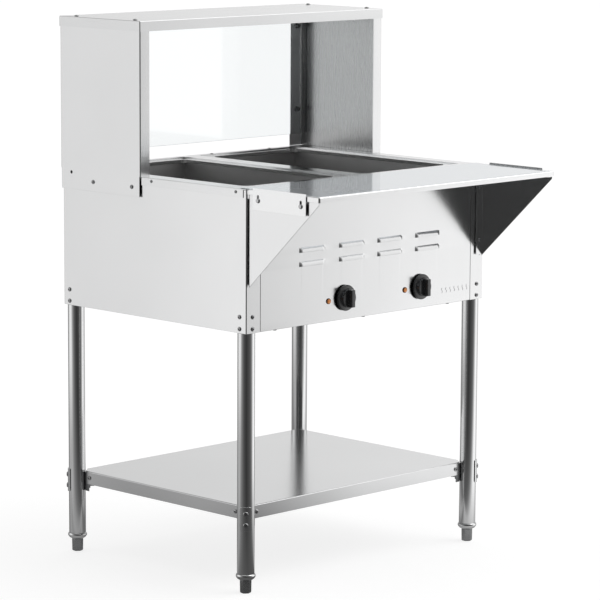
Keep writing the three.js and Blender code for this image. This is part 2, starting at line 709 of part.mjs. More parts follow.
// A triangular bracket with a top flange, a rear flange against the cabinet and two studs.
function gusset(side) {
  const face = side * GUSSET_OUT;
  const rear = -GAP - 2 * SHEET;
  const front = SHELF_FRONT + 4;
  const web = extrudeX(
    polygon([[rear, GUSSET_LOW], [rear, GUSSET_TOP], [front, GUSSET_TOP], [front, GUSSET_TOP - 6]]),
    Math.min(face, face - side * HEAVY),
    Math.max(face, face - side * HEAVY),
  );
  const inner = face - side * GUSSET_FLANGE;
  const rearFlange = block([face, rear, GUSSET_LOW + 4], [inner, rear - HEAVY, GUSSET_TOP - 10]);
  const topFlange = block([face, rear - 20, GUSSET_TOP - HEAVY], [face - side * 18, front, GUSSET_TOP]);
  const studs = HANGER_BOLTS.flatMap(([y, z]) => [
    bar([face - side, y, z], [side * (HANGER_OUT + 0.6), y, z], BOLT_RADIUS, 10),
    bar([face - side, y, z], [side * (HANGER_OUT - HEAVY - GAP), y, z], 6, 10),
    bar([side * (HANGER_OUT + GAP), y, z], [side * (HANGER_OUT + 3), y, z], 6, 12, 4.5),
  ]);
  return join(web, rearFlange, topFlange, ...studs);
}

// A hanger plate beside the shelf, with an upright slot over each stud.
function hanger(side) {
  const face = side * HANGER_OUT;
  const [near, far] = HANGER_SPAN;
  const plate = block([face, near, HANGER_LOW], [face - side * HEAVY, far, HANGER_HIGH]);
  const ledge = block(
    [face, near + 8, SHELF_TOP - 6],
    [side * (SHELF_HALF + GAP), far - 8, SHELF_TOP - 6 + HEAVY],
  );
  const slots = HANGER_BOLTS.flatMap(([y, z]) => [
    block([face + side, y - 3.4, z], [face - side * 4, y + 3.4, z + 10]),
    bar([face + side, y, z], [face - side * 4, y, z], 3.4, 12),
    bar([face + side, y, z + 10], [face - side * 4, y, z + 10], 3.4, 12),
  ]);
  return cut(join(plate, ledge), ...slots);
}

// Assembly ---------------------------------------------------------------------------------

add('front_panel', frontPanel(), stainless);
add('back_panel', backPanel(), stainless);
add('bottom_panel', bottomPanel(), zincSteel);
add('top_frame', topFrame(), stainless);
add('overshelf', overshelf(), stainless);
add('glass_panel', glassPanel(), glass);
add('plate_shelf', plateShelf(), stainless);
add('undershelf', undershelf(), stainless);
add('cable_gland', cableGland(), blackPlastic);
add('terminal_box', terminalBox(), blackPlastic);

SIDES.forEach(([hand, side], index) => {
  const knobX = KNOB_X[index];
  add(`side_panel_${hand}`, sidePanel(side), stainless);
  add(`well_${hand}`, well(side), dullSteel);
  add(`heating_element_${hand}`, element(side), dullSteel);
  add(`heat_control_${hand}`, control(knobX), blackPlastic);
  add(`control_shaft_${hand}`, knobShaft(knobX), zincSteel);
  add(`knob_${hand}`, knob(knobX), blackPlastic);
  add(`indicator_lamp_${hand}`, lamp(knobX + LAMP_OFFSET), amber);
  add(`guard_side_${hand}`, guardSide(side), stainless);
  add(`gusset_${hand}`, gusset(side), stainless);
  add(`shelf_hanger_${hand}`, hanger(side), stainless);
  ['lower', 'upper'].forEach((level, i) => {
    add(`glass_clip_${level}_${hand}`, glassClip(side, CLIP_Z[i]), zincSteel);
  });
  ENDS.forEach(([place, end]) => {
    const corner = `${place}_${hand}`;
    add(`leg_socket_${corner}`, legSocket(side, end), zincSteel);
    add(`leg_${corner}`, leg(side, end), stainless);
    add(`foot_insert_${corner}`, footInsert(side, end), stainless);
    add(`foot_${corner}`, foot(side, end), greyFoot);
    add(`leg_clamp_${corner}`, legClamp(side, end), stainless);
    add(`corner_bracket_${corner}`, cornerBracket(side, end), zincSteel);
  });
});

export default unit;
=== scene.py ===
"""Looks of the two-well steam table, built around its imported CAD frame. Metres, +Z up, front -Y."""
import json
import math

import bmesh
import bpy
from mathutils import Matrix, Vector


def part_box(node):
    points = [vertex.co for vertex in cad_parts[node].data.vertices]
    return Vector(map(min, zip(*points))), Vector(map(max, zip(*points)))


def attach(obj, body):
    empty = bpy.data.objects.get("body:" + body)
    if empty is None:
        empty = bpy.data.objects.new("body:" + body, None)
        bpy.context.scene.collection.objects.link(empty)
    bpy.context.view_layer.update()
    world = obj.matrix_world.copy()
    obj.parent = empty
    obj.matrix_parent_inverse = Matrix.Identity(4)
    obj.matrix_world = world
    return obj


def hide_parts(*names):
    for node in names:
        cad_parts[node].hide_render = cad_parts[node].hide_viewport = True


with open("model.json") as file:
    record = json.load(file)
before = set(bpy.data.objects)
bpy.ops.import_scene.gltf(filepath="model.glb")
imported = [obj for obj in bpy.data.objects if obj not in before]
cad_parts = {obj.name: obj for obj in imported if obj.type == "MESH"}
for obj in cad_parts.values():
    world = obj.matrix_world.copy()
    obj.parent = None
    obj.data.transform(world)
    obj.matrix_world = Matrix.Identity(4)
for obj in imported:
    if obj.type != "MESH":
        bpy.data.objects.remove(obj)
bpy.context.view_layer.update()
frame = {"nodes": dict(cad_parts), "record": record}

MM = 0.001
SCENE = bpy.context.scene
TABLE = "table"
HANDS = (("left", -1), ("right", 1))
PLACES = (("front", -1), ("rear", 1))
CORNERS = [(f"{place}_{hand}", side, end) for hand, side in HANDS for place, end in PLACES]
BODY_OF = {node: body for body, nodes in frame["record"]["behaviour"]["bodies"].items() for node in nodes}
SLOT_OF = {part["node"]: part["material_slot"] for part in frame["record"]["subparts"]}


def span(node):
    """A node's lowest and highest corners."""
    low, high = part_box(node)
    return Vector(low), Vector(high)


FRONT_LOW, FRONT_HIGH = span("front_panel")
SIDE_LOW, SIDE_HIGH = span("side_panel_left")
CABINET_HALF = -SIDE_LOW.x
CABINET_FRONT = SIDE_LOW.y
CABINET_BACK = SIDE_HIGH.y
CABINET_LOW = SIDE_LOW.z
TABLE_TOP = span("top_frame")[1].z
SHEET = 1.2 * MM
HEAVY = 1.5 * MM
STUD_HEAD = 3.1 * MM
# From a leg's axis to the cabinet's side and front faces.
LEG_INSET = 20.9 * MM


# Materials --------------------------------------------------------------------------------

# The middle of a noise texture's values, where nearly all of them lie.
NOISE_RANGE = (0.3, 0.7)
CLOUD_SCALE = 4.0
RELIEF_DEPTH = 0.2 * MM


def link(tree, source, output, target, socket):
    tree.links.new(source.outputs[output], target.inputs[socket])


def principled(name, colour, metallic, roughness=0.5, **sockets):
    material = bpy.data.materials.new(name)
    material.use_nodes = True
    shader = material.node_tree.nodes["Principled BSDF"]
    shader.inputs["Base Color"].default_value = (*colour, 1.0)
    shader.inputs["Metallic"].default_value = metallic
    shader.inputs["Roughness"].default_value = roughness
    for socket, value in sockets.items():
        shader.inputs[socket.replace("_", " ")].default_value = value
    return material


def noise(tree, scale, detail, stretch=(1.0, 1.0, 1.0)):
    """Noise in the frame's own metres, stretched along the axes where the factor is small."""
    place = tree.nodes.new("ShaderNodeTexCoord")
    mapping = tree.nodes.new("ShaderNodeMapping")
    mapping.inputs["Scale"].default_value = stretch
    texture = tree.nodes.new("ShaderNodeTexNoise")
    texture.inputs["Scale"].default_value = scale
    texture.inputs["Detail"].default_value = detail
    link(tree, place, "Object", mapping, "Vector")
    link(tree, mapping, "Vector", texture, "Vector")
    return texture


def arithmetic(tree, operation, *inputs):
    """A math node fed with sockets or plain numbers."""
    node = tree.nodes.new("ShaderNodeMath")
    node.operation = operation
    for k, value in enumerate(inputs):
        if isinstance(value, (int, float)):
            node.inputs[k].default_value = value
        else:
            tree.links.new(value, node.inputs[k])
    return node.outputs["Value"]


def ranged(tree, value, start, end, low, high):
    """The value's stretch from start to end spread between low and high."""
    node = tree.nodes.new("ShaderNodeMapRange")
    for socket, number in zip(("From Min", "From Max", "To Min", "To Max"), (start, end, low, high)):
        node.inputs[socket].default_value = number
    tree.links.new(value, node.inputs["Value"])
    return node.outputs["Result"]


def mixed(tree, factor, first, second):
    """A colour mix, whose second colour is a socket or a plain colour."""
    node = tree.nodes.new("ShaderNodeMix")
    node.data_type = "RGBA"
    factor_in, first_in, second_in = (node.inputs[k] for k in (0, 6, 7))
    tree.links.new(factor, factor_in)
    tree.links.new(first, first_in)
    if isinstance(second, tuple):
        second_in.default_value = second
    else:
        tree.links.new(second, second_in)
    return node.outputs[2]


def tint(tree, source, dark, light):
    ramp = tree.nodes.new("ShaderNodeValToRGB")
    for element, position, colour in zip(ramp.color_ramp.elements, NOISE_RANGE, (dark, light)):
        element.position = position
        element.color = (*colour, 1.0)
    link(tree, source, "Fac", ramp, "Fac")
    return ramp


def bump(tree, source, distance, strength):
    node = tree.nodes.new("ShaderNodeBump")
    node.inputs["Distance"].default_value = distance
    node.inputs["Strength"].default_value = strength
    link(tree, source, "Fac", node, "Height")
    return node


def finished(name, colour, metallic, rough, grain, scale, spread=0.015, relief=0.006, **sockets):
    """A material whose colour, roughness and relief follow a grain and a slow cloudiness."""
    material = principled(name, colour, metallic, **sockets)
    tree = material.node_tree
    shader = tree.nodes["Principled BSDF"]
    fine = noise(tree, scale, 4.0, grain)
    cloudy = noise(tree, CLOUD_SCALE, 2.0)
    dark = [value * (1.0 - spread) for value in colour]
    light = [min(1.0, value * (1.0 + spread)) for value in colour]
    colours = tint(tree, cloudy, dark, light)
    link(tree, colours, "Color", shader, "Base Color")
    tree.links.new(ranged(tree, fine.outputs["Fac"], *NOISE_RANGE, *rough), shader.inputs["Roughness"])
    link(tree, bump(tree, fine, RELIEF_DEPTH, relief), "Normal", shader, "Normal")
    return material


# The noise's stretch for brushing up the height, for brushing along X, and for none.
UPRIGHT = (1.0, 1.0, 0.012)
ALONG_X = (0.012, 1.0, 1.0)
EVEN = (1.0, 1.0, 1.0)

STEEL = finished("stainless_upright_grain", (0.82, 0.822, 0.825), 1.0, (0.17, 0.20), UPRIGHT, 900.0)
# A lighter copy of the stainless: painted light, for plates that catch more light than the panels beside
# them.
STEEL_PAINTED_LIGHTER = finished("stainless_painted_lighter", (0.90, 0.902, 0.905), 1.0, (0.20, 0.24), ALONG_X, 900.0)
STEEL_FLAT = finished("stainless_level_grain", (0.80, 0.803, 0.806), 1.0, (0.15, 0.18), ALONG_X, 900.0)
# A darker copy of the level-grain stainless: painted shade under the cabinet.
STEEL_SHELF_SHADED = finished("stainless_undershelf_painted_shade", (0.70, 0.703, 0.706), 1.0, (0.15, 0.19), ALONG_X, 900.0)
# A darker copy of the stainless for inner faces: painted shade.
STEEL_INNER_SHADE = finished("stainless_inner_face_painted_shade", (0.46, 0.463, 0.466), 1.0, (0.24, 0.30), UPRIGHT, 900.0)
# A rougher, less metallic and lighter copy of the stainless: the lighter colour is painted light, standing in
# for light bounced onto the flange from the guard's inner face.
STEEL_DULL_LIT = finished("stainless_flange_painted_light", (0.88, 0.883, 0.886), 0.25, (0.46, 0.52), UPRIGHT, 900.0)
POLISHED = finished("stainless_filmed", (0.82, 0.86, 0.895), 0.42, (0.05, 0.08), ALONG_X, 900.0, 0.02)
TUBE = finished("leg_tube", (0.80, 0.803, 0.806), 1.0, (0.07, 0.11), UPRIGHT, 700.0)
WELL = finished("well_liner", (0.60, 0.60, 0.60), 1.0, (0.44, 0.52), ALONG_X, 500.0, 0.06, 0.02)
SHEATH = finished("element_sheath", (0.16, 0.15, 0.145), 0.9, (0.45, 0.6), EVEN, 400.0, 0.25, 0.2)
ZINC = finished("zinc_plate", (0.34, 0.345, 0.35), 1.0, (0.35, 0.5), EVEN, 250.0, 0.15, 0.1)
SCREW = finished("screw_steel", (0.46, 0.46, 0.465), 1.0, (0.12, 0.2), EVEN, 500.0, 0.1, 0.02)
FOOT = finished("foot_casting", (0.34, 0.345, 0.35), 0.9, (0.16, 0.26), EVEN, 600.0, 0.15, 0.1)
BLACK = finished(
    "black_plastic", (0.014, 0.014, 0.015), 0.0, (0.20, 0.28), EVEN, 500.0, 0.3, 0.03, Specular_IOR_Level=0.9,
)
MARK = finished("engraved_mark", (0.30, 0.30, 0.31), 0.2, (0.4, 0.5), EVEN, 500.0, 0.1, 0.05)
BEZEL = finished("lamp_bezel", (0.10, 0.035, 0.015), 0.0, (0.2, 0.3), EVEN, 500.0, 0.2, 0.1)
GLASS = finished(
    "clear_glass", (0.965, 0.985, 0.99), 0.0, (0.0, 0.01), EVEN, 3.0, 0.005, 0.0,
    Transmission_Weight=1.0, IOR=1.47,
)
LENS = finished(
    "amber_lens", (0.62, 0.24, 0.07), 0.0, (0.12, 0.22), EVEN, 300.0, 0.2, 0.1,
    Coat_Weight=0.6, Emission_Color=(0.9, 0.3, 0.06, 1.0), Emission_Strength=0.12,
)
MATERIAL_OF = {
    "stainless": STEEL,
    "stainless_polished": POLISHED,
    "tube_steel": TUBE,
    "well_steel": WELL,
    "element_sheath": SHEATH,
    "zinc_steel": ZINC,
    "foot_metal": FOOT,
    "black_plastic": BLACK,
    "amber_lens": LENS,
    "tempered_glass": GLASS,
}


# Mesh helpers -----------------------------------------------------------------------------

def piece(name, form, body, material, nodes=(), smooth=40.0):
    """Makes a bmesh into a smooth-shaded piece that rides on a body and stands for CAD nodes."""
    mesh = bpy.data.meshes.new(name)
    bmesh.ops.recalc_face_normals(form, faces=form.faces)
    form.to_mesh(mesh)
    form.free()
    mesh.polygons.foreach_set("use_smooth", [True] * len(mesh.polygons))
    mesh.set_sharp_from_angle(angle=math.radians(smooth))
    made = bpy.data.objects.new(name, mesh)
    SCENE.collection.objects.link(made)
    mesh.materials.append(material)
    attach(made, body)
    if nodes:
        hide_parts(*nodes)
    return made


EDGE = 0.35 * MM


def soften(made, width, angle=50.0):
    """Rounds a piece's edges and keeps its flat faces flat in the shading."""
    bevel = made.modifiers.new("edges", "BEVEL")
    bevel.width = width
    bevel.segments = 2
    bevel.limit_method = "ANGLE"
    bevel.angle_limit = math.radians(angle)
    bevel.miter_outer = "MITER_ARC"
    level_normals(made)


def level_normals(made):
    normals = made.modifiers.new("normals", "WEIGHTED_NORMAL")
    normals.keep_sharp = True
    normals.weight = 90


def thicken(made, sheet):
    solid = made.modifiers.new("sheet", "SOLIDIFY")
    solid.thickness = sheet
    solid.offset = -1.0
    solid.use_even_offset = True


OWN, INNER_SHADE, DULL_LIT, DARK = range(4)


def refined(node, material=None, finish_of=None):
    """A copy of a CAD node with clean faces and rounded edges.

    finish_of picks a face's finish: its own, the darker inner copy that paints shade, the lighter dull copy
    that paints light, or the dark screw steel.
    """
    form = bmesh.new()
    form.from_mesh(frame["nodes"][node].data)
    bmesh.ops.remove_doubles(form, verts=form.verts, dist=0.01 * MM)
    bmesh.ops.dissolve_limit(form, angle_limit=math.radians(1.0), verts=form.verts, edges=form.edges)
    made = piece(node + "_skin", form, BODY_OF[node], material or MATERIAL_OF[SLOT_OF[node]], (node,))
    if finish_of:
        for finish in (STEEL_INNER_SHADE, STEEL_DULL_LIT, SCREW):
            made.data.materials.append(finish)
        for face in made.data.polygons:
            face.material_index = finish_of(face.center, face.normal)
    soften(made, EDGE)


def turn(form, profile, place, segments, closed=False):
    """Turns (radius, height) points about the local Z axis. Points on the axis close the form."""
    rings = []
    for radius, height in profile:
        count = segments if radius > 1e-7 else 1
        angles = [2.0 * math.pi * k / segments for k in range(count)]
        rings.append([
            form.verts.new(place @ Vector((radius * math.cos(a), radius * math.sin(a), height)))
            for a in angles
        ])
    pairs = list(zip(rings, rings[1:]))
    if closed:
        pairs.append((rings[-1], rings[0]))
    for low, high in pairs:
        for k in range(segments):
            n = (k + 1) % segments
            corners = [low[k % len(low)], low[n % len(low)], high[n % len(high)], high[k % len(high)]]
            unique = list(dict.fromkeys(corners))
            if len(unique) > 2:
                form.faces.new(unique)


ROUND_STEPS = 4


def rounded(points, radius):
    """An open outline whose inner corners are rounded off."""
    route = [Vector(point) for point in points]
    result = [route[0]]
    for before, point, after in zip(route, route[1:], route[2:]):
        start = point + (before - point).normalized() * min(radius, (before - point).length / 2.1)
        end = point + (after - point).normalized() * min(radius, (after - point).length / 2.1)
        for k in range(ROUND_STEPS + 1):
            share = k / ROUND_STEPS
            result.append(start.lerp(point, share).lerp(point.lerp(end, share), share))
    result.append(route[-1])
    return [(p.x, p.y) for p in result]


def facing(position, direction):
    """A matrix at a position whose local Z points along a direction."""
    return Matrix.Translation(position) @ Vector(direction).to_track_quat("Z", "Y").to_matrix().to_4x4()


def prism(form, sides, radius, low, high, place, chamfer):
    """A regular prism about the local Z axis, its far edge chamfered."""
    profile = [(0.0, low), (radius, low), (radius, high - chamfer), (radius - chamfer, high), (0.0, high)]
    turn(form, profile, place, sides)


def slab(form, low, high):
    """A box between two corners, added to the form."""
    made = bmesh.ops.create_cube(form, size=1.0)["verts"]
    size = Vector(high) - Vector(low)
    middle = (Vector(high) + Vector(low)) / 2
    bmesh.ops.scale(form, vec=size, verts=made)
    bmesh.ops.translate(form, vec=middle, verts=made)


# Fasteners --------------------------------------------------------------------------------

SCREW_HEAD = rounded([(4.6, 0.0), (4.6, 0.9), (3.4, 2.1), (1.7, 2.4)], 0.8) + [(1.6, 0.5), (0.0, 0.4)]


def screw(form, position, direction, scale=1.2):
    """A domed screw head with a driver recess, standing on a face."""
    profile = [(radius * scale * MM, height * scale * MM) for radius, height in SCREW_HEAD]
    turn(form, [(0.0, 0.0)] + profile, facing(position, direction), 20)


def hex_nut(form, position, direction):
    """A washer and a hexagon nut, standing on a face."""
    place = facing(position, direction)
    prism(form, 24, 6.5 * MM, 0.0, MM, place, 0.2 * MM)
    prism(form, 6, 5.0 * MM, MM, 5.5 * MM, place, 0.6 * MM)


RIGHT = Vector((1, 0, 0))
FRONT = Vector((0, -1, 0))
BACK = Vector((0, 1, 0))
UP = Vector((0, 0, 1))
DOWN = Vector((0, 0, -1))


def cabinet_screws():
    """Screws at the cabinet's corners, along the rim's skirts, under both long edges and behind the wells."""
    form = bmesh.new()
    for _, side in HANDS:
        out = RIGHT * side
        face = CABINET_HALF * side
        for above in (10, 38):
            height = CABINET_LOW + above * MM
            leg_x = side * (CABINET_HALF - LEG_INSET)
            screw(form, (leg_x, CABINET_FRONT, height), FRONT)
            screw(form, (leg_x, CABINET_BACK, height), BACK)
            for y in (CABINET_FRONT + 22 * MM, CABINET_BACK - 21 * MM):
                screw(form, (face, y, height), out)
        rim = span("top_frame")[1].x * side
        for behind in (34, 320):
            screw(form, (rim, CABINET_FRONT + behind * MM, TABLE_TOP - 8 * MM), out, 0.85)
    for x in (-307, -10, 289):
        screw(form, (x * MM, CABINET_FRONT + 9 * MM, CABINET_LOW), DOWN)
        screw(form, (x * MM, CABINET_BACK - 9 * MM, CABINET_LOW), DOWN)
    for x in (-280, 75, 280):
        screw(form, (x * MM, CABINET_BACK - 14 * MM, TABLE_TOP), UP, 0.8)
    piece("cabinet_screws", form, TABLE, SCREW)


def guard_screws():
    """Screws low on the guard's sides and through the overshelf into their top flanges."""
    form = bmesh.new()
    low, high = span("guard_side_right")
    top = span("overshelf")[1].z
    for _, side in HANDS:
        face = high.x * side
        for behind in (30, 168):
            screw(form, (face, low.y + behind * MM, low.z + 23 * MM), RIGHT * side, 1.15)
        for behind in (36, 245):
            screw(form, ((CABINET_HALF - 13 * MM) * side, low.y + behind * MM, top), UP)
    piece("guard_screws", form, TABLE, SCREW)


def gusset_screws():
    """Screws through the gussets' rear flanges into the cabinet's corners."""
    form = bmesh.new()
    low, high = span("gusset_right")
    flange_face = high.y - 1.8 * MM
    for _, side in HANDS:
        for above in (40, 171):
            screw(form, ((high.x - 20 * MM) * side, flange_face, low.z + above * MM), FRONT, 0.9)
    piece("gusset_screws", form, TABLE, SCREW)


# Cabinet ----------------------------------------------------------------------------------

# The front panel's louvres, in millimetres of the frame.
LOUVRE_COLUMNS = (-193, -60, 71.5, 204)
LOUVRE_ROWS = (762, 795)
LOUVRE_HALF = 44.25
LOUVRE_REACH = 6.5
LOUVRE_RISE = 3.6
LOUVRE_LIP = 1.2
LOUVRE_END = 10.0
LOUVRE_SLOT = 36.0
LOUVRE_GAP = 0.65
FOLD_DEPTH = 15


def eased(share):
    share = max(0.0, min(1.0, share))
    return math.sin(share * math.pi / 2)


def louvre_height(x, z):
    """How far the panel is pressed out at a point: highest at the lip along a louvre's foot."""
    for column in LOUVRE_COLUMNS:
        for row in LOUVRE_ROWS:
            along = LOUVRE_HALF - abs(x - column)
            above = z - row + LOUVRE_REACH
            if along > 0.0 and 0.0 < above < 2 * LOUVRE_REACH:
                hood = eased((2 * LOUVRE_REACH - above) / (2 * LOUVRE_REACH - LOUVRE_LIP))
                return LOUVRE_RISE * hood * eased(along / LOUVRE_END) * min(1.0, above / 0.6)
    return 0.0


def is_slot(x, z):
    """Whether a point lies in the gap under a louvre's lip."""
    low = any(0.0 < z - row + LOUVRE_REACH < LOUVRE_GAP for row in LOUVRE_ROWS)
    return low and any(abs(x - column) < LOUVRE_SLOT for column in LOUVRE_COLUMNS)


def fine_lines(centres, half, step):
    """Grid lines across each louvre, closer together over its rounded walls."""
    count = round(2 * half / step)
    return [centre - half + 2 * half * k / count for centre in centres for k in range(count + 1)]


def front_panel():
    """A flat face with two folded edges, pressed out into open-bottomed louvres."""
    half = FRONT_HIGH.x / MM
    low, high = FRONT_LOW.z / MM, FRONT_HIGH.z / MM
    columns = [-half, *fine_lines(LOUVRE_COLUMNS, LOUVRE_HALF, 1.5), half]
    rows = fine_lines(LOUVRE_ROWS, LOUVRE_REACH, LOUVRE_GAP)
    fold = rounded([(FOLD_DEPTH, low), (0, low), (0, low + 20)], 2.4)
    section = [*fold, *[(0, z) for z in rows], *[(y, low + high - z) for y, z in reversed(fold)]]
    form = bmesh.new()
    grid = [[
        form.verts.new((x * MM, CABINET_FRONT + (y - louvre_height(x, z)) * MM, z * MM))
        for x in columns] for y, z in section]
    for j, (lower, upper) in enumerate(zip(grid, grid[1:])):
        z = (section[j][1] + section[j + 1][1]) / 2
        for i in range(len(columns) - 1):
            if not is_slot((columns[i] + columns[i + 1]) / 2, z):
                form.faces.new((lower[i], lower[i + 1], upper[i + 1], upper[i]))
    made = piece("front_panel_skin", form, TABLE, STEEL, ("front_panel",), smooth=50.0)
    thicken(made, SHEET)
    level_normals(made)


def tube_piece(name, routes, radius, material, resolution=2, capped=False):
    """A round tube along each of the routes, made as one piece on the table."""
    curve = bpy.data.curves.new(name, "CURVE")
    curve.dimensions = "3D"
    curve.bevel_depth = radius
    curve.bevel_resolution = resolution
    curve.use_fill_caps = capped
    for route in routes:
        spline = curve.splines.new("POLY")
        spline.points.add(len(route) - 1)
        for point, place in zip(spline.points, route):
            point.co = (*place, 1.0)
    made = bpy.data.objects.new(name, curve)
    SCENE.collection.objects.link(made)
    curve.materials.append(material)
    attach(made, TABLE)
    return made


WAVES = 7
WAVE_STEPS = 12
WAVE_SPACING = 15 * MM
WAVE_REACH = 1.8 * MM
WAVE_HEIGHT = 12 * MM


def wave(middle, low):
    """One wave of the heat mark, from its foot upwards."""
    face = CABINET_FRONT - 0.1 * MM
    shares = [i / WAVE_STEPS for i in range(WAVE_STEPS + 1)]
    return [
        (middle + WAVE_REACH * math.sin(share * 2 * math.pi), face, low + WAVE_HEIGHT * share)
        for share in shares
    ]


def heat_mark():
    """A row of rising waves, the usual sign for heat, where the panel carries its marking."""
    first = FRONT_HIGH.x - 102 * MM
    routes = [wave(first + WAVE_SPACING * k, CABINET_LOW + 28 * MM) for k in range(WAVES)]
    tube_piece("heat_mark", routes, 0.45 * MM, MARK)


# Wells and elements -----------------------------------------------------------------------

ELEMENT_RADIUS = 5 * MM
ELEMENT_RUN = 35 * MM
# From the front wall to where the inner runs begin to bend.
ELEMENT_SETBACK = 90 * MM
BEND_STEPS = 12
SUPPORTS_AT = (0.3, 0.7)


def element_route(middle, end, near, far, level):
    """Four parallel runs joined by half circles, the two outer ones reaching to the front wall."""
    route = []
    for k, step in enumerate((-3, -1, 1, 3)):
        x = middle + ELEMENT_RUN * step
        front = end if k in (0, 3) else near
        start, stop = (front, far) if k % 2 == 0 else (far, front)
        route += [(x, start, level), (x, stop, level)]
        if k < 3:
            bend = ELEMENT_RUN if k % 2 == 0 else -ELEMENT_RUN
            for i in range(1, BEND_STEPS):
                angle = math.pi * i / BEND_STEPS
                across = x + ELEMENT_RUN * (1.0 - math.cos(angle))
                route.append((across, stop + bend * math.sin(angle), level))
    return route


def heating_element(hand):
    """One sheathed tube in four runs, joined by round bends, on two support strips."""
    node = f"heating_element_{hand}"
    low, high = span(node)
    near = low.y + ELEMENT_SETBACK
    far = high.y - ELEMENT_RUN - ELEMENT_RADIUS
    level = high.z - ELEMENT_RADIUS
    route = element_route((low.x + high.x) / 2, low.y, near, far, level)
    tube = tube_piece(node + "_tube", [route], ELEMENT_RADIUS, SHEATH, 5, True)
    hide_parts(node)
    form = bmesh.new()
    for share in SUPPORTS_AT:
        y = near + share * (far - near)
        slab(form, (low.x + 2 * MM, y - MM, low.z), (high.x - 2 * MM, y + MM, level - 3 * MM))
    soften(piece(node + "_supports", form, TABLE, ZINC), 0.4 * MM)


# Controls ---------------------------------------------------------------------------------

GRIP = (14 * MM, 43 * MM)
GRIP_FOOT = 10 * MM
GRIP_TAPER = (0.86, 0.96)


def knob_skirt(radius, place):
    """The flat rim, the sloping ring and the round hub."""
    form = bmesh.new()
    profile = rounded([
        (0.0, 0.0), (radius, 0.0), (radius, 2.6 * MM), (radius - 1.6 * MM, 4.0 * MM), (22.5 * MM, 5.0 * MM),
        (21.5 * MM, 13 * MM), (0.0, 14 * MM),
    ], 0.7 * MM)
    turn(form, profile, place, 80)
    return form


def knob_grip(depth, place):
    """The bar, a little narrower at its outer face."""
    form = bmesh.new()
    bmesh.ops.create_cube(form, size=1.0)
    bmesh.ops.scale(form, vec=(*GRIP, depth - GRIP_FOOT), verts=form.verts)
    bmesh.ops.translate(form, vec=(0, 0, (depth + GRIP_FOOT) / 2), verts=form.verts)
    for vert in form.verts:
        if vert.co.z > depth / 2:
            vert.co.x *= GRIP_TAPER[0]
            vert.co.y *= GRIP_TAPER[1]
    bmesh.ops.bevel(form, geom=form.edges[:], offset=1.8 * MM, segments=4, affect="EDGES", profile=0.6)
    bmesh.ops.transform(form, matrix=place, verts=form.verts)
    return form


def knob_pointer(depth, centre):
    """The pointer line on the upper half of the grip's face."""
    form = bmesh.new()
    low = centre + Vector((-0.5 * MM, 0.1 * MM - depth, 6 * MM))
    high = centre + Vector((0.5 * MM, 0.6 * MM - depth, 19 * MM))
    slab(form, low, high)
    return form


def knob(hand):
    """A knob: its skirt and hub, its grip and a pointer line, all on the knob's own body."""
    node = f"knob_{hand}"
    low, high = span(node)
    centre = Vector(((low.x + high.x) / 2, high.y, (low.z + high.z) / 2))
    depth = high.y - low.y
    place = facing(centre, FRONT)
    body = BODY_OF[node]
    piece(node + "_skin", knob_skirt((high.x - low.x) / 2, place), body, BLACK, (node,), smooth=35.0)
    piece(node + "_grip", knob_grip(depth, place), body, BLACK, smooth=35.0)
    pointer = piece(node + "_pointer", knob_pointer(depth, centre), body, MARK)
    soften(pointer, 0.15 * MM)


BEZEL_EDGE = 1.6 * MM
DOME_STEPS = 8


def lamp(hand):
    """An indicator lamp: a dark bezel and a domed amber lens."""
    node = f"indicator_lamp_{hand}"
    low, high = span(node)
    centre = Vector(((low.x + high.x) / 2, CABINET_FRONT, (low.z + high.z) / 2))
    radius = (high.x - low.x) / 2
    dome_radius = radius - BEZEL_EDGE
    place = facing(centre, FRONT)
    form = bmesh.new()
    ring = rounded([
        (0.0, 0.0), (radius, 0.0), (radius, 1.6 * MM), (dome_radius, 2.4 * MM), (0.0, 2.2 * MM),
    ], 0.5 * MM)
    turn(form, ring, place, 40)
    piece(node + "_bezel", form, TABLE, BEZEL)
    form = bmesh.new()
    angles = [math.pi / 2 * k / DOME_STEPS for k in range(DOME_STEPS + 1)]
    dome = [(dome_radius * math.cos(a), 2.2 * MM + 3.0 * MM * math.sin(a)) for a in angles]
    turn(form, [(0.0, -20 * MM), (4.5 * MM, -20 * MM), (4.5 * MM, 1.8 * MM), *dome], place, 40)
    piece(node + "_lens", form, TABLE, LENS, (node,))


# Legs -------------------------------------------------------------------------------------

CLAMP_BOLTS = (14, 41)
BOLT_RADIUS = 2.9 * MM
BOLT_LENGTH = 66 * MM
# How far from the leg's axis a bolt's head, its nut and its inner end are.
BOLT_HEAD = 23 * MM
BOLT_NUT = 23.6 * MM
BOLT_END = 42 * MM
SADDLE_RADIUS = 23.2 * MM
# Half the plate's width over the radius of its inner face.
SADDLE_ANGLE = 14.5 / 20.95
SADDLE_STEPS = 12
# Up the saddle plate, in millimetres, and how much of its full width it has there.
SADDLE_WIDTHS = (
    (0, 0.80), (0.8, 0.90), (2.2, 0.97), (5, 1.0), (52, 1.0), (54.8, 0.97), (56.2, 0.90), (57, 0.80),
)


def axis_of(node):
    low, high = span(node)
    return (low.x + high.x) / 2, (low.y + high.y) / 2


def leg(corner):
    node = f"leg_{corner}"
    low, high = span(node)
    radius = (high.x - low.x) / 2
    bore = radius - SHEET
    form = bmesh.new()
    profile = [(bore, low.z), (radius, low.z), (radius, high.z), (bore, high.z)]
    turn(form, profile, Matrix.Translation((*axis_of(node), 0.0)), 96, closed=True)
    piece(node + "_skin", form, TABLE, TUBE, (node,))


